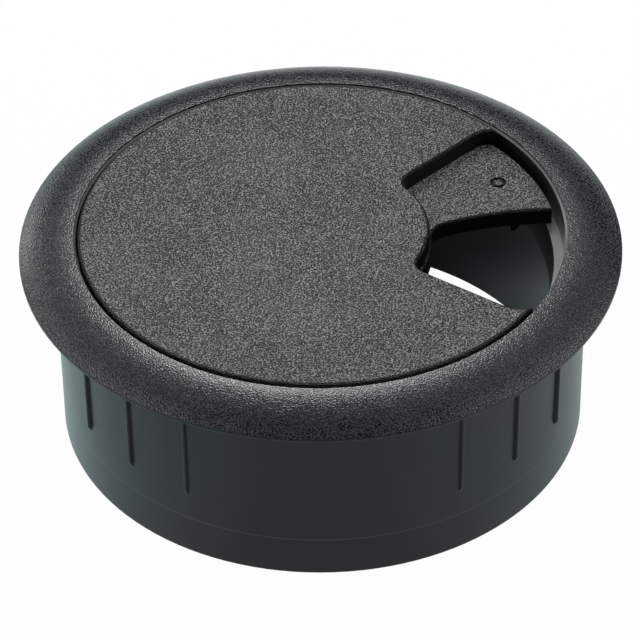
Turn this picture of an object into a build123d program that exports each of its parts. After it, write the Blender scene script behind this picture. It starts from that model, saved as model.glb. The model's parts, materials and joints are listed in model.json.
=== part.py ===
"""Round desk cable grommet: flanged sleeve, notched cap and swivelling closer, in millimetres.

The sleeve stands on its lower rim at z = 0 and its axis is Z. The cable notch opens towards +X.
"""

import os

from build123d import *

# Sleeve wall, sized for the round hole that is drilled in the desk top
desk_hole_diameter = 60.0
wall_play = 0.25
pilot_play = 0.4
pilot_height = 4.8
sleeve_depth = 22.2
bore_wall = 2.7

# Flange that lies on the desk top, and the stepped lip inside it
flange_overlap = 3.5
flange_height = 2.3
flange_edge = 0.35
lip_step = 0.2
lip_slope_width = 0.25
lip_slope_height = 0.2

# Mouth that takes the cap and the closer, and the collar they sit on
mouth_wall = 2.6
collar_reach = 1.15
collar_taper = 0.4
collar_height = 3.8

# Crush ribs that grip the hole, in groups of three
rib_squeeze = 0.1
rib_draft = 0.1
rib_thickness = 0.4
rib_edge = 0.1
rib_length = 14.0
rib_lead = 0.6
rib_pitch = 15.0
rib_group_angles = (45, 135, 225, 315)

# Cap, which stands a little proud of the lip
cap_gap = 0.2
cap_rise = 0.1
cap_thickness = 2.0
cap_rim_round = 0.33
cap_rim_facet = 0.1
notch_inner_radius = 12.15
notch_low_angle = -35.0
notch_high_angle = 43.5
notch_corner = 1.75
notch_rim_reach = 0.65
notch_rim_corner = 3.0
notch_edge_round = 0.5

# Closer, shown part of the way between open and closed
closer_gap = 0.55
closer_thickness = 2.0
closer_edge_round = 0.4
plate_play = 0.1
window_inner_radius = 12.4
closer_turn_to_open = 32.0
closer_turn_to_close = 50.0
lead_edge_hollow = 0.8
lead_corner = 2.5
stiffener_radius = 22.05
stiffener_top_width = 1.05
stiffener_tip_width = 0.5
stiffener_height = 0.75
gate_orbit = 22.8
gate_angle = 27.5
gate_well_diameter = 1.9
gate_well_depth = 0.25
gate_stub_diameter = 1.1

# Swivel: a split stud under the cap snaps through the hub of the closer
stud_radius = 3.0
stud_play = 0.08
stud_slot = 1.5
barb_reach = 0.4
barb_height = 1.6
barb_lead = 0.5
barb_play = 0.15
hub_wall = 2.1
hub_height = 1.6

# Stop: a peg under the cap runs in an arc slot of the closer
stop_orbit = 8.0
stop_angle = 170.0
stop_peg_radius = 1.2
stop_play = 0.2
stop_peg_length = 1.6

# Worked-out radii
hole_radius = desk_hole_diameter / 2
wall_top_radius = hole_radius - wall_play
pilot_radius = hole_radius - pilot_play
bore_radius = pilot_radius - bore_wall
flange_radius = hole_radius + flange_overlap
mouth_radius = wall_top_radius - mouth_wall
lip_radius = mouth_radius + lip_slope_width
collar_top_radius = mouth_radius - collar_reach
collar_low_radius = collar_top_radius - collar_taper
rib_tip_radius = hole_radius + rib_squeeze
rib_root_radius = (bore_radius + pilot_radius) / 2
cap_radius = mouth_radius - cap_gap
closer_radius = mouth_radius - closer_gap
notch_outer_radius = cap_radius + notch_rim_reach
window_outer_radius = closer_radius + notch_rim_reach
hub_bore_radius = stud_radius + stud_play
hub_radius = hub_bore_radius + hub_wall

# Worked-out heights
flange_top = sleeve_depth + flange_height
flange_edge_top = sleeve_depth + flange_edge
lip_foot = flange_top - lip_step
cap_top = flange_top + cap_rise
cap_under = cap_top - cap_thickness
closer_top = cap_under - plate_play
closer_under = closer_top - closer_thickness
seat = closer_under - plate_play
collar_low = seat - collar_height
collar_root = collar_low - (bore_radius - collar_low_radius)
hub_under = closer_under - hub_height
barb_top = hub_under - barb_play

# The window of the closer lines up with the notch when the closer is fully open
lead_angle = notch_high_angle - closer_turn_to_open
trail_angle = notch_low_angle - closer_turn_to_open


def polar(radius, angle):
    """Point in the plan view."""
    return Vector(radius, 0).rotate(Axis.Z, angle)


def turned(profile):
    """Solid of revolution about Z from a face of radius and height."""
    return revolve(Plane.XZ * profile, Axis.Z)


def disc(radius, low, height):
    """Round plate about Z with its underside at the given height."""
    return extrude(Pos(0, 0, low) * Circle(radius), height)


def rounded(plan, corner, radius):
    """Plan with the corner at a point rounded off."""
    return fillet(plan.vertices().sort_by_distance(corner)[0], radius)


def top_edges_inside_rim(plate):
    """Edges of the top of a notched plate, without the long one that runs round its rim."""
    return plate.faces().sort_by(Axis.Z)[-1].edges().sort_by(SortBy.LENGTH)[:-1]


def at(radius, angle, height):
    """Place on the plan view at a height."""
    return Pos(polar(radius, angle) + Vector(0, 0, height))


def sleeve_wall():
    """Flange, lip, mouth, seat collar, bore and wall as one turned form."""
    outline = Polyline(
        (lip_radius, flange_top),
        (lip_radius, lip_foot),
        (mouth_radius, lip_foot - lip_slope_height),
        (mouth_radius, seat),
        (collar_top_radius, seat),
        (collar_low_radius, collar_low),
        (bore_radius, collar_root),
        (bore_radius, 0),
        (pilot_radius, 0),
        (pilot_radius, pilot_height),
        (wall_top_radius, sleeve_depth),
        (flange_radius, sleeve_depth),
        (flange_radius, flange_edge_top),
    )
    dome = TangentArc((lip_radius, flange_top), (flange_radius, flange_edge_top), tangent=(1, 0))
    return turned(make_face([*outline.edges(), dome]))


def crush_rib():
    """Upright rib on the +X side with a slanted lower end and broken edges, rooted in the flange."""
    low = sleeve_depth - rib_length
    root_top = (sleeve_depth + flange_edge_top) / 2
    outline = Polyline(
        (rib_root_radius, low),
        (pilot_radius, low),
        (rib_tip_radius - rib_draft, low + rib_lead),
        (rib_tip_radius, root_top),
        (rib_root_radius, root_top),
        close=True,
    )
    rib = extrude(Plane.XZ * make_face(outline), rib_thickness / 2, both=True)
    return chamfer(rib.faces().sort_by(Axis.X)[-1].edges(), rib_edge)


def make_sleeve():
    """Liner that is pushed into the hole in the desk."""
    rib = crush_rib()
    angles = [group + step * rib_pitch for group in rib_group_angles for step in (-1, 0, 1)]
    return sleeve_wall() + [Rot(0, 0, angle) * rib for angle in angles]


def sector(inner_radius, outer_radius, low_angle, high_angle, high_hollow=0):
    """Plan of a notch between two radii and two angles.

    The side at the high angle may be hollowed towards the plate.
    """
    low_in = polar(inner_radius, low_angle)
    high_in = polar(inner_radius, high_angle)
    low_out = polar(outer_radius, low_angle)
    high_out = polar(outer_radius, high_angle)
    high_side = SagittaArc(high_in, high_out, high_hollow) if high_hollow else Line(high_in, high_out)
    return make_face(
        [
            RadiusArc(low_in, high_in, -inner_radius),
            high_side,
            RadiusArc(high_out, low_out, outer_radius),
            Line(low_out, low_in),
        ]
    )


def snap_stud():
    """Round stud under the cap, slotted, with a barb that hooks under the hub."""
    barb_radius = hub_bore_radius + barb_reach
    barb_low = barb_top - barb_height
    outline = Polyline(
        (0, cap_under),
        (stud_radius, cap_under),
        (stud_radius, barb_top),
        (barb_radius, barb_top),
        (barb_radius, barb_top - barb_lead),
        (stud_radius - barb_reach, barb_low),
        (0, barb_low),
        close=True,
    )
    stud_length = cap_under - barb_low
    slot = Pos(0, 0, barb_low) * Box(
        2 * barb_radius, stud_slot, stud_length, align=(Align.CENTER, Align.CENTER, Align.MIN)
    )
    return turned(make_face(outline)) - slot


def cap_plate():
    """Round plate whose upper rim is broken by two slanted facets."""
    outline = Polyline(
        (0, cap_under),
        (cap_radius, cap_under),
        (cap_radius, cap_top - cap_rim_round),
        (cap_radius - cap_rim_facet, cap_top - cap_rim_facet),
        (cap_radius - cap_rim_round, cap_top),
        (0, cap_top),
        close=True,
    )
    return turned(make_face(outline))


def make_cap():
    """Lid with the cable notch, its snap stud and its stop peg."""
    plan = sector(notch_inner_radius, notch_outer_radius, notch_low_angle, notch_high_angle)
    for angle in (notch_low_angle, notch_high_angle):
        plan = rounded(plan, polar(notch_inner_radius, angle), notch_corner)
        plan = rounded(plan, polar(notch_outer_radius, angle), notch_rim_corner)
    plate = cap_plate() - extrude(Pos(0, 0, cap_under) * plan, cap_thickness)
    plate = fillet(top_edges_inside_rim(plate), notch_edge_round)
    peg = at(stop_orbit, stop_angle, cap_under - stop_peg_length) * Cylinder(
        stop_peg_radius, stop_peg_length, align=(Align.CENTER, Align.CENTER, Align.MIN)
    )
    return plate + snap_stud() + peg


def stiffener():
    """Low ring under the closer, upright inside and slanted outside."""
    tip = closer_under - stiffener_height
    outline = Polyline(
        (stiffener_radius, closer_under),
        (stiffener_radius + stiffener_top_width, closer_under),
        (stiffener_radius + stiffener_tip_width, tip),
        (stiffener_radius, tip),
        close=True,
    )
    return turned(make_face(outline))


def gate_mark():
    """Ring-shaped sink left by the moulding gate, with its stub inside."""
    ring = Circle(gate_well_diameter / 2) - Circle(gate_stub_diameter / 2)
    return extrude(at(gate_orbit, gate_angle, closer_top) * ring, -gate_well_depth)


def stop_slot():
    """Arc slot that lets the peg travel from open to closed."""
    travel = closer_turn_to_open + closer_turn_to_close
    path = CenterArc((0, 0), stop_orbit, stop_angle - closer_turn_to_open, travel)
    slot = SlotArc(path, 2 * (stop_peg_radius + stop_play))
    return extrude(Pos(0, 0, closer_under) * slot, closer_thickness)


def make_closer():
    """Swivelling plate under the cap that opens and closes the notch."""
    plan = sector(window_inner_radius, window_outer_radius, trail_angle, lead_angle, lead_edge_hollow)
    plan = rounded(plan, polar(window_inner_radius, trail_angle), notch_corner)
    plan = rounded(plan, polar(window_inner_radius, lead_angle), lead_corner)
    plate = disc(closer_radius, closer_under, closer_thickness)
    plate -= extrude(Pos(0, 0, closer_under) * plan, closer_thickness)
    plate = fillet(top_edges_inside_rim(plate), closer_edge_round)
    ring = stiffener() - extrude(Pos(0, 0, closer_under) * plan, -stiffener_height)
    hub = disc(hub_radius, hub_under, hub_height)
    hub_bore = disc(hub_bore_radius, hub_under, hub_height + closer_thickness)
    return plate + ring + hub - hub_bore - stop_slot() - gate_mark()


os.makedirs("parts", exist_ok=True)
export_step(make_sleeve(), "parts/sleeve.step")
export_step(make_cap(), "parts/cap.step")
export_step(make_closer(), "parts/closer.step")
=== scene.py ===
"""Looks and studio stage for a desk cable grommet: flanged sleeve, notched cap and swivelling closer.

The solids come in as a fixed frame. Each of the three plastic pieces gets its own procedural finish,
and the stage gives the floor, the lamps and the camera. All lengths are in metres and +Z is up.
"""

import json
import math
from typing import Callable, NamedTuple, Sequence

import bpy
from bpy.props import FloatProperty, FloatVectorProperty, PointerProperty
from mathutils import Matrix, Vector


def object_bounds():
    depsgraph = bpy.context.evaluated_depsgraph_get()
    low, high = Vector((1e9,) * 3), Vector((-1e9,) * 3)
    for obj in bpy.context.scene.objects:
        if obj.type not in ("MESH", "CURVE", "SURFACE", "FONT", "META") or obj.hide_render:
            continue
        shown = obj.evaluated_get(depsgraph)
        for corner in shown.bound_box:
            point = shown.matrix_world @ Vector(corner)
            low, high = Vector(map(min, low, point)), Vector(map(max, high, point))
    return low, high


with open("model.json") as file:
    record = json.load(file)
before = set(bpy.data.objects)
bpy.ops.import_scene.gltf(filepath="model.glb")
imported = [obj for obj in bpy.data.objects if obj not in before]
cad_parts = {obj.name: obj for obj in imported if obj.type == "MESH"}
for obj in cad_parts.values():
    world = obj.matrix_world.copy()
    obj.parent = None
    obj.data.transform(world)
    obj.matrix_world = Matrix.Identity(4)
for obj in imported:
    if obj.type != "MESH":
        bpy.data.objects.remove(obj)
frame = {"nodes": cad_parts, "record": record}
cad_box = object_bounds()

bl_info = {
    "name": "Desk Cable Grommet",
    "version": (1, 0, 0),
    "blender": (4, 5, 0),
    "location": "3D View > Sidebar > Grommet",
    "description": "Gives a desk cable grommet its moulded plastic finishes and a plain studio stage",
    "category": "Material",
}

WHITE = (1.0, 1.0, 1.0, 1.0)

# Places on the sleeve, from the frame and a few lengths of its own
PILOT = next(mount for mount in frame["record"]["mounts"] if mount["name"] == "desk_hole_pilot")
PILOT_RADIUS = PILOT["dims"]["r_mm"] / 1000
PILOT_HEIGHT = 0.0048
PILOT_LINE = 0.0001
BORE_WALL = 0.0027
BORE_RADIUS = PILOT_RADIUS - BORE_WALL
WALL_MIDDLE = (PILOT_RADIUS + BORE_RADIUS) / 2
WALL_FADE = 0.0001
FLANGE_WIDTH = 0.0061
LIP_RADIUS = cad_box[1].x - FLANGE_WIDTH
LIP_FADE = 0.00002

# Gate mark on the closer: where it is, and the radii over which the painted shade in its sink begins and
# ends
GATE_ORBIT = 0.0228
GATE_ANGLE = math.radians(27.5)
GATE_CENTRE = (GATE_ORBIT * math.cos(GATE_ANGLE), GATE_ORBIT * math.sin(GATE_ANGLE), 0.0)
GATE_STUB = (0.0003, 0.0007)
GATE_SINK = (0.00085, 0.001)

# How far up a face looks where a mask begins and where it is full, from 0 for upright to 1 for level
FLAT_TOP = (0.9, 0.975)
ROUNDED_EDGE = (0.15, 0.5)
DOME = (0.6, 0.75)
# The ledge mask picks the faces in the mouth that get a painted highlight
LEDGE = (0.5, 1.0)

# Grain and patches: each pair holds the levels of noise between which it rises from 0 to 1
GRAIN_HEIGHT = (0.25, 0.75)
GRAIN_SPECKLE = (0.41, 0.65)
PATCHES = (0.3, 0.7)

# Turn of the grain in radians, its light share, and how far smooth faces go darker and lighter
GRAIN_TURN = (0.6, 0.4, 0.3)
LIGHT_GRAIN_SHARE = 0.4
SMOOTH_FACE_DRIFT = 0.15
DRIFT_MIDDLE = 0.5

# Floor, and where the sheen of the plastic sees it shaded at the back right or tinted at the sides
FLOOR_HALF = 3.0
FLOOR_CORNERS = [(x * FLOOR_HALF, y * FLOOR_HALF, 0.0) for x, y in ((-1, -1), (1, -1), (1, 1), (-1, 1))]
FAR_DIRECTION = (0.9, 0.44, 0.0)
FAR_REACH = (-0.01, 0.035)
SIDE_REACH = (0.004, 0.028)

# Light through the notch: its middle on the floor, and the distances over which the shade comes back.
# The first distance is below 0, so that some shade is left in the middle.
NOTCH_LIGHT_CENTRE = (0.019, 0.0145, 0.0)
NOTCH_LIGHT = (-0.008, 0.011)

# Grey cards: name, tone and corners
CARDS = (
    ("top_card", 0.45, ((-0.4, -1.2, 0.7), (0.4, -1.2, 0.7), (0.4, 0.05, 0.7), (-0.4, 0.05, 0.7))),
    ("front_card", 0.05, ((-1.2, -1.2, 0.0), (1.2, -1.2, 0.0), (1.2, -1.2, 0.7), (-1.2, -1.2, 0.7))),
    ("back_card", 0.02, ((-0.45, 0.9, 0.0), (1.2, 0.9, 0.0), (1.2, 0.9, 0.6), (-0.45, 0.9, 0.45))),
)

# Lamps: name, place, width and height
LAMPS = (
    ("back_lamp", (-0.006, 0.125, 0.158), 0.065, 0.055),
    ("left_lamp", (-0.376, 0.471, 0.16), 0.12, 0.1),
    ("left_fill", (-0.15, 0.54, 0.43), 0.12, 0.12),
    ("right_fill", (0.15, 0.54, 0.43), 0.12, 0.12),
)
LAMP_AIM = Vector((0.0, 0.0, cad_box[1].z))

# Light strips: name and place on X, and the corners on Y and Z that they share
STRIPS = (("left_strip", -0.4), ("right_strip", 0.4))
STRIP_CORNERS = ((-0.36, 0.63), (-0.33, 0.66), (0.2, 0.19), (0.17, 0.16))

# Camera
SENSOR_WIDTH_MM = 36.0
CLIP_START = 0.01
CLIP_END = 20.0


class GrommetFinish(bpy.types.PropertyGroup):
    """Colours and surface textures of the three moulded pieces."""

    cap_colour: FloatVectorProperty(
        name="Cap Colour",
        description="Grained plastic on the top of the cap",
        subtype="COLOR",
        size=3,
        min=0.0,
        max=1.0,
        default=(0.097, 0.097, 0.097),
    )
    # Painted light: the closer is made lighter than the cap to make up for the shade it sits in under the
    # cap
    closer_colour_with_painted_light: FloatVectorProperty(
        name="Closer Colour",
        description="Grained plastic on the top of the swivelling closer",
        subtype="COLOR",
        size=3,
        min=0.0,
        max=1.0,
        default=(0.111, 0.111, 0.111),
    )
    flange_colour: FloatVectorProperty(
        name="Flange Colour",
        description="Textured plastic on the dome of the flange",
        subtype="COLOR",
        size=3,
        min=0.0,
        max=1.0,
        default=(0.0112, 0.0112, 0.015),
    )
    # Painted highlight: the slope of the lip and the seat are painted lighter where they face up and catch
    # the light
    ledge_highlight_colour: FloatVectorProperty(
        name="Ledge Highlight Colour",
        description="Slope of the lip inside the dome, and the seat in the mouth",
        subtype="COLOR",
        size=3,
        min=0.0,
        max=1.0,
        default=(0.145, 0.145, 0.148),
    )
    wall_colour: FloatVectorProperty(
        name="Wall Colour",
        description="Smooth plastic of all the faces that have no grain",
        subtype="COLOR",
        size=3,
        min=0.0,
        max=1.0,
        default=(0.0046, 0.0034, 0.0044),
    )
    grain_size: FloatProperty(
        name="Grain Size",
        description="Distance between the bumps of the moulded grain",
        subtype="DISTANCE",
        unit="LENGTH",
        precision=5,
        min=0.0001,
        default=0.00017,
    )
    cap_grain_depth: FloatProperty(
        name="Cap Grain Depth",
        description="Height of the grain on the cap and the closer",
        subtype="DISTANCE",
        unit="LENGTH",
        precision=6,
        min=0.0,
        default=0.00012,
    )
    flange_grain_depth: FloatProperty(
        name="Flange Grain Depth",
        description="Height of the grain on the flange",
        subtype="DISTANCE",
        unit="LENGTH",
        precision=6,
        min=0.0,
        default=0.000021,
    )
    grain_roughness: FloatProperty(
        name="Grain Roughness",
        description="Roughness of the cap's and the closer's grained tops",
        subtype="FACTOR",
        min=0.0,
        max=1.0,
        default=0.43,
    )
    flange_roughness: FloatProperty(
        name="Flange Roughness",
        description="Roughness of the dome of the flange",
        subtype="FACTOR",
        min=0.0,
        max=1.0,
        default=0.2,
    )
    cap_speckle: FloatProperty(
        name="Cap Speckle",
        description="How far the grain of the cap and the closer goes from dark to light",
        subtype="FACTOR",
        min=0.0,
        max=1.0,
        default=0.92,
    )
    flange_speckle: FloatProperty(
        name="Flange Speckle",
        description="How far the grain of the flange goes from dark to light",
        subtype="FACTOR",
        min=0.0,
        max=1.0,
        default=1.0,
    )
    # Painted highlight: the thin edge at the top of the pilot is painted part of the way to the ledges'
    # highlight colour
    pilot_edge_highlight: FloatProperty(
        name="Pilot Edge Highlight",
        description="How far the edge at the top of the pilot goes towards the colour of the ledges",
        subtype="FACTOR",
        min=0.0,
        max=1.0,
        default=0.25,
    )
    edge_round: FloatProperty(
        name="Edge Round",
        description="How far the ribs and the rim of the flange look rounded off",
        subtype="DISTANCE",
        unit="LENGTH",
        precision=5,
        min=0.0,
        default=0.0003,
    )
    patch_size: FloatProperty(
        name="Patch Size",
        description="Distance between the lighter and the darker patches of a moulded face",
        subtype="DISTANCE",
        unit="LENGTH",
        precision=4,
        min=0.001,
        default=0.012,
    )
    tone_drift: FloatProperty(
        name="Tone Drift",
        description="How far the share of light grain drifts over a grained top",
        subtype="FACTOR",
        min=0.0,
        max=1.0,
        default=0.14,
    )
    wall_roughness: FloatProperty(
        name="Wall Roughness",
        description="Roughness of the smooth faces",
        subtype="FACTOR",
        min=0.0,
        max=1.0,
        default=0.3,
    )
    cap_gloss: FloatProperty(
        name="Cap Gloss",
        description="Strength of the sheen of the cap and the closer",
        subtype="FACTOR",
        min=0.0,
        max=1.0,
        default=0.16,
    )
    sleeve_gloss: FloatProperty(
        name="Sleeve Gloss",
        description="Strength of the sheen of the sleeve",
        subtype="FACTOR",
        min=0.0,
        max=1.0,
        default=0.3,
    )


class GrommetStage(bpy.types.PropertyGroup):
    """Camera, floor, surround, lamps and light strips."""

    camera_place: FloatVectorProperty(
        name="Camera Place",
        description="Where the camera stands",
        subtype="TRANSLATION",
        unit="LENGTH",
        size=3,
        precision=5,
        default=(-0.00017, -0.32916, 0.28149),
    )
    camera_pitch: FloatProperty(
        name="Camera Pitch",
        description="How far the camera looks down",
        subtype="ANGLE",
        unit="ROTATION",
        default=math.radians(39.38),
    )
    camera_roll: FloatProperty(
        name="Camera Roll",
        description="Turn of the camera about its own line of sight",
        subtype="ANGLE",
        unit="ROTATION",
        default=math.radians(-0.76),
    )
    focal_length: FloatProperty(
        name="Focal Length",
        description="Lens of the camera in millimetres",
        min=1.0,
        default=211.8,
    )
    floor_colour: FloatVectorProperty(
        name="Floor Colour",
        description="Paper that the grommet stands on",
        subtype="COLOR",
        size=3,
        min=0.0,
        max=1.0,
        default=(0.88, 0.9, 0.9),
    )
    middle_tint: FloatVectorProperty(
        name="Middle Tint",
        description="Tint that the sheen of the plastic picks up from the floor in front and behind",
        subtype="COLOR",
        size=3,
        min=0.0,
        max=1.0,
        default=(0.82, 0.79, 0.87),
    )
    side_tint: FloatVectorProperty(
        name="Side Tint",
        description="Tint that the sheen of the plastic picks up from the floor at the sides",
        subtype="COLOR",
        size=3,
        min=0.0,
        max=1.0,
        default=(0.78, 1.0, 1.0),
    )
    floor_glow: FloatProperty(
        name="Floor Glow",
        description="How far the floor is lifted to plain white, which leaves the rest to its shadow",
        subtype="FACTOR",
        min=0.0,
        max=1.0,
        default=0.97,
    )
    bore_shade: FloatProperty(
        name="Bore Shade",
        description="How much darker the floor inside the bore looks in the plastic's sheen",
        subtype="FACTOR",
        min=0.0,
        max=1.0,
        default=0.8,
    )
    far_shade: FloatProperty(
        name="Far Shade",
        description="How much darker the floor behind and to the right looks in the plastic's sheen",
        subtype="FACTOR",
        min=0.0,
        max=1.0,
        default=0.55,
    )
    surround_light: FloatProperty(
        name="Surround Light",
        description="Level of the even light from all round",
        min=0.0,
        default=1.5,
    )
    back_lamp_power: FloatProperty(
        name="Back Lamp Power",
        description="Power of the small lamp close above and behind the grommet",
        subtype="POWER",
        unit="POWER",
        min=0.0,
        default=0.215,
    )
    left_lamp_power: FloatProperty(
        name="Left Lamp Power",
        description="Power of the small lamp low at the back on the left",
        subtype="POWER",
        unit="POWER",
        min=0.0,
        default=0.26,
    )
    fill_lamp_power: FloatProperty(
        name="Fill Lamp Power",
        description="Power of each of the two lamps high at the back, one on each side",
        subtype="POWER",
        unit="POWER",
        min=0.0,
        default=0.1,
    )
    strip_glow: FloatProperty(
        name="Strip Glow",
        description="Level of the two slanted light strips at the sides, which show only in the sheen",
        min=0.0,
        default=12.0,
    )


class GrainedTop(NamedTuple):
    """Finish of the grained faces of a piece, and the masks that say where the grain and its bumps are."""

    colour: Sequence
    speckle: float
    roughness: float
    grain_depth: float
    gloss: float
    mask_of: Callable
    bump_mask_of: Callable


def set_inputs(node, values):
    """Sets plain inputs of a node by name, with underscores for the spaces."""
    for name, value in values.items():
        node.inputs[name.replace("_", " ")].default_value = value


def add_node(tree, kind, label, **values):
    """New node with its plain inputs set by name."""
    node = tree.nodes.new(kind)
    node.label = label
    set_inputs(node, values)
    return node


def feed(tree, socket, source):
    """Links a socket to another one, or sets it to a plain value."""
    if isinstance(source, bpy.types.NodeSocket):
        tree.links.new(source, socket)
    else:
        socket.default_value = source


def add_operation(tree, kind, operation, label, first, second):
    """New maths node of a kind, fed by sockets or plain values."""
    node = add_node(tree, kind, label)
    node.operation = operation
    feed(tree, node.inputs[0], first)
    feed(tree, node.inputs[1], second)
    return node


def add_math(tree, operation, label, first, second=0.0):
    """Result of a sum on two numbers."""
    return add_operation(tree, "ShaderNodeMath", operation, label, first, second).outputs["Value"]


def add_vector_math(tree, operation, label, first, second):
    """Node for a sum on two vectors, which gives a vector or a number."""
    return add_operation(tree, "ShaderNodeVectorMath", operation, label, first, second)


def add_ramp(tree, label, value, low, high):
    """Smooth rise from 0 to 1 as the value goes from low to high."""
    node = add_node(tree, "ShaderNodeMapRange", label, From_Min=low, From_Max=high)
    node.interpolation_type = "SMOOTHSTEP"
    tree.links.new(value, node.inputs["Value"])
    return node.outputs["Result"]


def add_level(tree, label, mask, low, high):
    """Number that goes from low to high as the mask goes from 0 to 1."""
    node = add_node(tree, "ShaderNodeMapRange", label, To_Min=low, To_Max=high)
    tree.links.new(mask, node.inputs["Value"])
    return node.outputs["Result"]


def add_mix(tree, kind, label, mask, first, second):
    """Mix of two colours, kind RGBA, or of two vectors, kind VECTOR, each a socket or plain values."""
    node = add_node(tree, "ShaderNodeMix", label)
    node.data_type = kind
    tree.links.new(mask, node.inputs["Factor"])
    for name, source in (("A", first), ("B", second)):
        inputs = (socket for socket in node.inputs if socket.name == name and socket.type == kind)
        feed(tree, next(inputs), source)
    return next(socket for socket in node.outputs if socket.type == kind)


def opaque(colour, level=1.0):
    """Colour made lighter or darker by a level, with its alpha."""
    return (*(channel * level for channel in colour), 1.0)


def coordinate(tree, space, axis):
    """One axis of a point's place, in the space Object, or of its normal, in the space Normal."""
    point = tree.nodes.new("ShaderNodeTexCoord")
    split = tree.nodes.new("ShaderNodeSeparateXYZ")
    tree.links.new(point.outputs[space], split.inputs["Vector"])
    return split.outputs[axis]


def plan_radius(tree, centre=(0.0, 0.0, 0.0)):
    """Distance from an upright axis, which is the Z axis unless another centre is given."""
    point = tree.nodes.new("ShaderNodeTexCoord")
    flat = add_vector_math(tree, "MULTIPLY", "In plan", point.outputs["Object"], (1.0, 1.0, 0.0))
    return add_vector_math(tree, "DISTANCE", "Radius", flat.outputs["Vector"], centre).outputs["Value"]


def looks_up(tree, low, high):
    """Smooth rise from 0 on steep faces to 1 on faces that look up."""
    return add_ramp(tree, "Looks up", coordinate(tree, "Normal", "Z"), low, high)


def top_mask(tree):
    """1 on the flat top of a piece, fading out over its rounded edges."""
    return looks_up(tree, *FLAT_TOP)


def edge_mask(tree):
    """1 on the top of a piece and on its rounded edges, 0 on its upright sides."""
    return looks_up(tree, *ROUNDED_EDGE)


def flange_mask(tree):
    """1 on the dome of the flange and 0 on the lip, the wall, the mouth and the bore."""
    outside_lip = add_ramp(tree, "Outside the lip", plan_radius(tree), LIP_RADIUS - LIP_FADE, LIP_RADIUS)
    return add_math(tree, "MULTIPLY", "On the dome", outside_lip, looks_up(tree, *DOME))


def outside_wall(tree):
    """1 on the outside of the wall, on its ribs and on the outer part of the flange."""
    return add_ramp(
        tree, "Outside the wall", plan_radius(tree), WALL_MIDDLE - WALL_FADE, WALL_MIDDLE + WALL_FADE
    )


def pilot_line(tree):
    """1 on the thin line round the outside of the wall where the pilot ends."""
    height = coordinate(tree, "Object", "Z")
    above = add_ramp(tree, "Over the line", height, PILOT_HEIGHT - PILOT_LINE, PILOT_HEIGHT)
    past = add_ramp(tree, "Past the line", height, PILOT_HEIGHT, PILOT_HEIGHT + PILOT_LINE)
    line = add_math(tree, "SUBTRACT", "On the line", above, past)
    return add_math(tree, "MULTIPLY", "Pilot line", line, outside_wall(tree))


def new_group(name, inputs, outputs):
    """Empty shader node group with number sockets, and its two end nodes."""
    group = bpy.data.node_groups.new(name, "ShaderNodeTree")
    for socket_name in inputs:
        group.interface.new_socket(socket_name, in_out="INPUT", socket_type="NodeSocketFloat")
    for socket_name in outputs:
        group.interface.new_socket(socket_name, in_out="OUTPUT", socket_type="NodeSocketFloat")
    return group, group.nodes.new("NodeGroupInput"), group.nodes.new("NodeGroupOutput")


def moulded_grain_group():
    """Spark-eroded mould texture: a height for the bump, and a speckle for the colour that is lightest on
    the bumps, partly the grain's own tone and partly painted glints and painted shade.
    """
    name = "Moulded Grain"
    if name in bpy.data.node_groups:
        return bpy.data.node_groups[name]
    group, start, end = new_group(name, ["Grain Size"], ["Height", "Speckle"])
    point = group.nodes.new("ShaderNodeTexCoord")
    turned = add_node(group, "ShaderNodeVectorRotate", "Out of line with level faces")
    turned.rotation_type = "EULER_XYZ"
    turned.inputs["Rotation"].default_value = GRAIN_TURN
    group.links.new(point.outputs["Object"], turned.inputs["Vector"])
    frequency = add_math(group, "DIVIDE", "Grains per metre", 1.0, start.outputs["Grain Size"])
    grain = add_node(group, "ShaderNodeTexNoise", "Grain", Detail=0.0)
    group.links.new(turned.outputs["Vector"], grain.inputs["Vector"])
    group.links.new(frequency, grain.inputs["Scale"])
    for output, levels in (("Height", GRAIN_HEIGHT), ("Speckle", GRAIN_SPECKLE)):
        group.links.new(add_ramp(group, output, grain.outputs["Fac"], *levels), end.inputs[output])
    return group


def tone_drift_group():
    """Slow change of tone over a moulded face, where the melt filled the mould unevenly."""
    name = "Tone Drift"
    if name in bpy.data.node_groups:
        return bpy.data.node_groups[name]
    group, start, end = new_group(name, ["Patch Size"], ["Drift"])
    point = group.nodes.new("ShaderNodeTexCoord")
    frequency = add_math(group, "DIVIDE", "Patches per metre", 1.0, start.outputs["Patch Size"])
    patches = add_node(group, "ShaderNodeTexNoise", "Patches", Detail=3.0, Roughness=0.55)
    group.links.new(point.outputs["Object"], patches.inputs["Vector"])
    group.links.new(frequency, patches.inputs["Scale"])
    group.links.new(add_ramp(group, "Drift", patches.outputs["Fac"], *PATCHES), end.inputs["Drift"])
    return group


def place_group(tree, group, **values):
    """The shared effect placed in a material with that material's own values."""
    node = tree.nodes.new("ShaderNodeGroup")
    node.node_tree = group
    set_inputs(node, values)
    return node


def new_material(name, kind, label, **values):
    """Node material with one shader on its output, whose plain inputs are set by name."""
    material = bpy.data.materials.new(name)
    material.use_nodes = True
    tree = material.node_tree
    tree.nodes.clear()
    shader = add_node(tree, kind, label, **values)
    output = tree.nodes.new("ShaderNodeOutputMaterial")
    tree.links.new(shader.outputs[0], output.inputs["Surface"])
    return material, tree, shader


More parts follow.
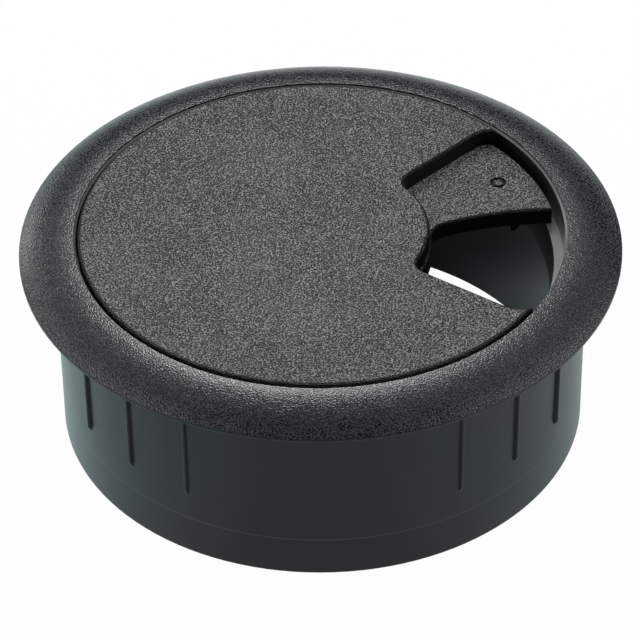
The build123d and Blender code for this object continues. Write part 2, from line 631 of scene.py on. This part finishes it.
def grained_colour(tree, top, speckle, drift, tone_drift):
    """Dark and light grain that come to the colour of the top, with a share of light that drifts."""
    # The speckle lightens the grain's bumps and darkens its pits: partly its own tone, partly painted
    # glints and painted shade
    dark_grain = opaque(top.colour, 1.0 - top.speckle)
    light_grain = opaque(top.colour, 1.0 + top.speckle * (1.0 / LIGHT_GRAIN_SHARE - 1.0))
    patches = add_math(tree, "SUBTRACT", "Light or dark patches", drift, DRIFT_MIDDLE)
    share = add_math(tree, "MULTIPLY", "Change of share", patches, tone_drift)
    lightness = add_math(tree, "ADD", "Drifting grain", speckle, share)
    return add_mix(tree, "RGBA", "Grained", lightness, dark_grain, light_grain)


def smooth_colour(tree, colour, drift):
    """Colour of the smooth faces, a little darker or lighter from patch to patch."""
    darker = opaque(colour, 1.0 - SMOOTH_FACE_DRIFT)
    lighter = opaque(colour, 1.0 + SMOOTH_FACE_DRIFT)
    return add_mix(tree, "RGBA", "Smooth", drift, darker, lighter)


def moulded_plastic(name, top, finish):
    """Plastic with a light grain on the top of a piece and darker smooth faces elsewhere.

    The bumps of the grain have a mask of their own, so that they can run on over rounded edges.
    """
    material, tree, shader = new_material(
        name, "ShaderNodeBsdfPrincipled", "Plastic", Specular_IOR_Level=top.gloss
    )
    mask = top.mask_of(tree)
    grain = place_group(tree, moulded_grain_group(), Grain_Size=finish.grain_size)
    drift = place_group(tree, tone_drift_group(), Patch_Size=finish.patch_size).outputs["Drift"]
    grained = grained_colour(tree, top, grain.outputs["Speckle"], drift, finish.tone_drift)
    smooth = smooth_colour(tree, finish.wall_colour, drift)
    colour = add_mix(tree, "RGBA", "Grained or smooth", mask, smooth, grained)
    tree.links.new(colour, shader.inputs["Base Color"])
    roughness = add_level(tree, "Roughness", mask, finish.wall_roughness, top.roughness)
    tree.links.new(roughness, shader.inputs["Roughness"])
    height = add_math(
        tree, "MULTIPLY", "Grain under the mask", grain.outputs["Height"], top.bump_mask_of(tree)
    )
    bump = add_node(tree, "ShaderNodeBump", "Grain", Distance=top.grain_depth)
    tree.links.new(height, bump.inputs["Height"])
    tree.links.new(bump.outputs["Normal"], shader.inputs["Normal"])
    return material


def plate_plastic(name, colour, finish):
    """Plastic of the cap and the closer, which differ only in colour: the closer's is painted lighter
    against the shade under the cap.
    """
    top = GrainedTop(
        colour=colour,
        speckle=finish.cap_speckle,
        roughness=finish.grain_roughness,
        grain_depth=finish.cap_grain_depth,
        gloss=finish.cap_gloss,
        mask_of=top_mask,
        bump_mask_of=edge_mask,
    )
    return moulded_plastic(name, top, finish)


def paint_over(material, label, mask, colour):
    """Puts a colour over the plastic where the mask is 1."""
    tree = material.node_tree
    shader = next(node for node in tree.nodes if node.type == "BSDF_PRINCIPLED")
    base = shader.inputs["Base Color"]
    tree.links.new(add_mix(tree, "RGBA", label, mask, base.links[0].from_socket, opaque(colour)), base)


def paint_ledge_highlights(material, colour, line_level):
    """Paints a highlight on the slope of the lip and on the seat where they face up, and a fainter one on
    the pilot's line.
    """
    tree = material.node_tree
    level_faces = looks_up(tree, *LEDGE)
    ledges = add_math(tree, "SUBTRACT", "On the lip and the seat", level_faces, flange_mask(tree))
    # Painted highlight on the pilot's edge, fainter than on the ledges
    line = add_math(tree, "MULTIPLY", "Hint", pilot_line(tree), line_level)
    light = add_math(tree, "MAXIMUM", "Ledges and line", ledges, line)
    paint_over(material, "Painted highlight", light, colour)


def paint_gate_sink_shade(material, colour):
    """Paints shade into the ring-shaped sink of the moulding gate, in the colour of the smooth faces."""
    tree = material.node_tree
    radius = plan_radius(tree, GATE_CENTRE)
    off_stub = add_ramp(tree, "Out of the stub", radius, *GATE_STUB)
    off_sink = add_ramp(tree, "Out of the sink", radius, *GATE_SINK)
    paint_over(material, "Sink", add_math(tree, "SUBTRACT", "In the sink", off_stub, off_sink), colour)


def round_edges(material, radius):
    """Makes the ribs and the rim of the flange look rounded off."""
    tree = material.node_tree
    bump = next(node for node in tree.nodes if node.type == "BUMP")
    sharp = tree.nodes.new("ShaderNodeNewGeometry").outputs["Normal"]
    rounded = add_node(tree, "ShaderNodeBevel", "Rounded edges", Radius=radius).outputs["Normal"]
    normal = add_mix(tree, "VECTOR", "Rounded outside", outside_wall(tree), sharp, rounded)
    tree.links.new(normal, bump.inputs["Normal"])


def dress(node_name, material):
    """Puts a finish on a solid of the frame."""
    solid = frame["nodes"][node_name]
    solid.data.materials.clear()
    solid.data.materials.append(material)


class GROMMET_OT_sleeve(bpy.types.Operator):
    """Finish the flanged sleeve"""

    bl_idname = "grommet.sleeve"
    bl_label = "Finish Sleeve"

    def execute(self, context):
        finish = context.scene.grommet_finish
        dome = GrainedTop(
            colour=finish.flange_colour,
            speckle=finish.flange_speckle,
            roughness=finish.flange_roughness,
            grain_depth=finish.flange_grain_depth,
            gloss=finish.sleeve_gloss,
            mask_of=flange_mask,
            bump_mask_of=flange_mask,
        )
        material = moulded_plastic("sleeve_plastic", dome, finish)
        paint_ledge_highlights(material, finish.ledge_highlight_colour, finish.pilot_edge_highlight)
        round_edges(material, finish.edge_round)
        dress("sleeve", material)
        return {"FINISHED"}


class GROMMET_OT_cap(bpy.types.Operator):
    """Finish the notched cap"""

    bl_idname = "grommet.cap"
    bl_label = "Finish Cap"

    def execute(self, context):
        finish = context.scene.grommet_finish
        dress("cap", plate_plastic("cap_plastic", finish.cap_colour, finish))
        return {"FINISHED"}


class GROMMET_OT_closer(bpy.types.Operator):
    """Finish the swivelling closer"""

    bl_idname = "grommet.closer"
    bl_label = "Finish Closer"

    def execute(self, context):
        finish = context.scene.grommet_finish
        # The closer's colour holds painted light against the shade under the cap
        material = plate_plastic("closer_plastic", finish.closer_colour_with_painted_light, finish)
        # Painted shade in the ring-shaped sink of the gate
        paint_gate_sink_shade(material, finish.wall_colour)
        dress("closer", material)
        return {"FINISHED"}


def seen_directly(tree, shade=0.0):
    """1 for rays from the camera and for what gloss and glass show, 0 for rays that light the grommet.

    The shade takes the white away again from what gloss shows.
    """
    path = tree.nodes.new("ShaderNodeLightPath")
    gloss = add_math(tree, "SUBTRACT", "Gloss out of the shade", path.outputs["Is Glossy Ray"], shade)
    camera_or_gloss = add_math(tree, "MAXIMUM", "Camera or gloss", path.outputs["Is Camera Ray"], gloss)
    return add_math(tree, "MAXIMUM", "Or glass", camera_or_gloss, path.outputs["Is Transmission Ray"])


def make_surround(scene, stage):
    """White surround that lights the grommet at the stage's own level."""
    world = bpy.data.worlds.new("surround")
    world.use_nodes = True
    tree = world.node_tree
    background = tree.nodes["Background"]
    background.inputs["Color"].default_value = WHITE
    level = add_level(tree, "Light or white", seen_directly(tree), stage.surround_light, 1.0)
    tree.links.new(level, background.inputs["Strength"])
    scene.world = world


def floor_shade(tree, stage):
    """How far the floor is shaded in the sheen: inside the bore, and behind the grommet to its right."""
    inside = add_ramp(tree, "Inside the sleeve", plan_radius(tree), PILOT_RADIUS, BORE_RADIUS)
    beside = add_ramp(tree, "Beside the notch", plan_radius(tree, NOTCH_LIGHT_CENTRE), *NOTCH_LIGHT)
    under_cap = add_math(tree, "MULTIPLY", "Under the cap", inside, beside)
    bore = add_math(tree, "MULTIPLY", "Shade in the bore", under_cap, stage.bore_shade)
    point = tree.nodes.new("ShaderNodeTexCoord")
    along = add_vector_math(
        tree, "DOT_PRODUCT", "Towards the back right", point.outputs["Object"], FAR_DIRECTION
    )
    far_side = add_ramp(tree, "Far side", along.outputs["Value"], *FAR_REACH)
    far = add_math(tree, "MULTIPLY", "Shade far off", far_side, stage.far_shade)
    return add_math(tree, "MAXIMUM", "Shade", bore, far)


def floor_colour_seen(tree, stage):
    """White where the floor is seen, and in the sheen a tint that changes from the middle to the sides."""
    off_middle = add_math(tree, "ABSOLUTE", "Off the middle", coordinate(tree, "Object", "X"))
    to_the_sides = add_ramp(tree, "To the sides", off_middle, *SIDE_REACH)
    tint = add_mix(
        tree, "RGBA", "Tint", to_the_sides, opaque(stage.middle_tint), opaque(stage.side_tint)
    )
    path = tree.nodes.new("ShaderNodeLightPath")
    return add_mix(tree, "RGBA", "White or tint", path.outputs["Is Glossy Ray"], WHITE, tint)


def add_sheet(scene, name, corners, material):
    """Flat sheet of the stage between its corners."""
    mesh = bpy.data.meshes.new(name)
    mesh.from_pydata(corners, [], [tuple(range(len(corners)))])
    mesh.materials.append(material)
    sheet = bpy.data.objects.new(name, mesh)
    scene.collection.objects.link(sheet)
    return sheet


def make_floor(scene, stage):
    """Pale paper floor that is lifted to white where it is seen and keeps a faint shadow."""
    material, tree, mix = new_material("floor_paper", "ShaderNodeMixShader", "Paper or white")
    paper = add_node(tree, "ShaderNodeBsdfDiffuse", "Paper", Color=opaque(stage.floor_colour))
    glow = tree.nodes.new("ShaderNodeEmission")
    tree.links.new(floor_colour_seen(tree, stage), glow.inputs["Color"])
    seen = seen_directly(tree, floor_shade(tree, stage))
    tree.links.new(add_math(tree, "MULTIPLY", "Lift", seen, stage.floor_glow), mix.inputs["Fac"])
    tree.links.new(paper.outputs["BSDF"], mix.inputs[1])
    tree.links.new(glow.outputs["Emission"], mix.inputs[2])
    add_sheet(scene, "floor", FLOOR_CORNERS, material)


def make_card(scene, name, tone, corners):
    """Grey card that keeps light off one side and shows only in the sheen of the plastic."""
    felt = new_material(name, "ShaderNodeBsdfDiffuse", "Felt", Color=(tone, tone, tone, 1.0))[0]
    add_sheet(scene, name, corners, felt).visible_camera = False


def make_strip(scene, name, x, glow):
    """Slanted light strip that shows only in the sheen of the plastic."""
    tube = new_material(name, "ShaderNodeEmission", "Tube", Strength=glow)[0]
    strip = add_sheet(scene, name, [(x, y, z) for y, z in STRIP_CORNERS], tube)
    strip.visible_camera = False
    strip.visible_diffuse = False
    strip.visible_shadow = False


def make_lamp(scene, name, place, width, height, power):
    """Soft lamp that shines on the cap and shows only in the sheen of the plastic."""
    light = bpy.data.lights.new(name, "AREA")
    light.shape = "RECTANGLE"
    light.size = width
    light.size_y = height
    light.energy = power
    lamp = bpy.data.objects.new(name, light)
    lamp.location = place
    lamp.visible_diffuse = False
    lamp.rotation_euler = (LAMP_AIM - Vector(place)).to_track_quat("-Z", "Y").to_euler()
    scene.collection.objects.link(lamp)


def make_camera(scene, stage):
    """Camera that looks along +Y and down at the cap."""
    data = bpy.data.cameras.new("camera")
    data.sensor_width = SENSOR_WIDTH_MM
    data.lens = stage.focal_length
    data.clip_start = CLIP_START
    data.clip_end = CLIP_END
    camera = bpy.data.objects.new("camera", data)
    look_down = Matrix.Rotation(math.pi / 2 - stage.camera_pitch, 4, "X")
    roll = Matrix.Rotation(stage.camera_roll, 4, "Z")
    camera.matrix_world = Matrix.Translation(stage.camera_place) @ look_down @ roll
    scene.collection.objects.link(camera)
    scene.camera = camera


class GROMMET_OT_stage(bpy.types.Operator):
    """Build the floor, the surround, the cards, the lamps, the light strips and the camera"""

    bl_idname = "grommet.stage"
    bl_label = "Build Stage"

    def execute(self, context):
        scene = context.scene
        stage = scene.grommet_stage
        powers = {
            "back_lamp": stage.back_lamp_power,
            "left_lamp": stage.left_lamp_power,
            "left_fill": stage.fill_lamp_power,
            "right_fill": stage.fill_lamp_power,
        }
        make_surround(scene, stage)
        make_floor(scene, stage)
        for name, tone, corners in CARDS:
            make_card(scene, name, tone, corners)
        for name, place, width, height in LAMPS:
            make_lamp(scene, name, place, width, height, powers[name])
        for name, x in STRIPS:
            make_strip(scene, name, x, stage.strip_glow)
        make_camera(scene, stage)
        scene.view_settings.view_transform = "Standard"
        return {"FINISHED"}


class GROMMET_PT_sidebar(bpy.types.Panel):
    """Sidebar tab with the grommet's finishes and stage."""

    bl_idname = "GROMMET_PT_sidebar"
    bl_label = "Desk Cable Grommet"
    bl_space_type = "VIEW_3D"
    bl_region_type = "UI"
    bl_category = "Grommet"

    def draw(self, context):
        for settings in (context.scene.grommet_finish, context.scene.grommet_stage):
            box = self.layout.box()
            for name in settings.bl_rna.properties.keys():
                if name not in {"rna_type", "name"}:
                    box.prop(settings, name)
        for operator in OPERATORS:
            self.layout.operator(operator.bl_idname)


OPERATORS = (GROMMET_OT_sleeve, GROMMET_OT_cap, GROMMET_OT_closer, GROMMET_OT_stage)
CLASSES = (GrommetFinish, GrommetStage, *OPERATORS, GROMMET_PT_sidebar)


def register():
    """Adds the classes and hangs the settings on the scene."""
    for cls in CLASSES:
        bpy.utils.register_class(cls)
    bpy.types.Scene.grommet_finish = PointerProperty(type=GrommetFinish)
    bpy.types.Scene.grommet_stage = PointerProperty(type=GrommetStage)


def unregister():
    """Takes the settings and the classes away again."""
    del bpy.types.Scene.grommet_stage
    del bpy.types.Scene.grommet_finish
    for cls in reversed(CLASSES):
        bpy.utils.unregister_class(cls)


def main():
    """Dresses the grommet and builds its stage."""
    register()
    bpy.ops.grommet.sleeve()
    bpy.ops.grommet.cap()
    bpy.ops.grommet.closer()
    bpy.ops.grommet.stage()


if __name__ == "__main__":
    main()
